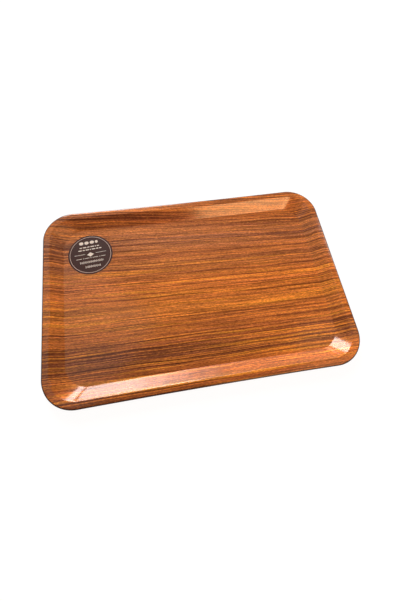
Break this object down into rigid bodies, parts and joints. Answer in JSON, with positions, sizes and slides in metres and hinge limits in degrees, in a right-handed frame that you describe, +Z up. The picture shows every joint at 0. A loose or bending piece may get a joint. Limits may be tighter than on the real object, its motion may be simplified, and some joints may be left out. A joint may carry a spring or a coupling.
{
  "type": "serving tray",
  "caption": "Shallow rectangular serving tray pressed from laminated wood veneers, with a flat rim, sloping walls, rounded corners and a round paper label on the floor.",
  "frame": {"origin": "centre of the flat underside, where the tray rests", "axes": "+X along the tray's length, +Y across it towards the long side nearest the label, +Z up out of the serving recess"},
  "size_m": [0.36, 0.24, 0.0126],
  "materials": {
    "decor_paper_top": "reddish brown wood grain under a clear semi-gloss coat",
    "core_veneer": "dark stained, sealed cut edge",
    "decor_paper_bottom": "plainer wood grain, satin coat",
    "label_paper": null
  },
  "bodies": {
    "root": {"top_decor_sheet": "decor_paper_top", "core_veneer_1": "core_veneer", "core_veneer_2": "core_veneer", "core_veneer_3": "core_veneer", "core_veneer_4": "core_veneer", "core_veneer_5": "core_veneer", "bottom_backing_sheet": "decor_paper_bottom", "retail_label": "label_paper"}
  },
  "joints": []
}
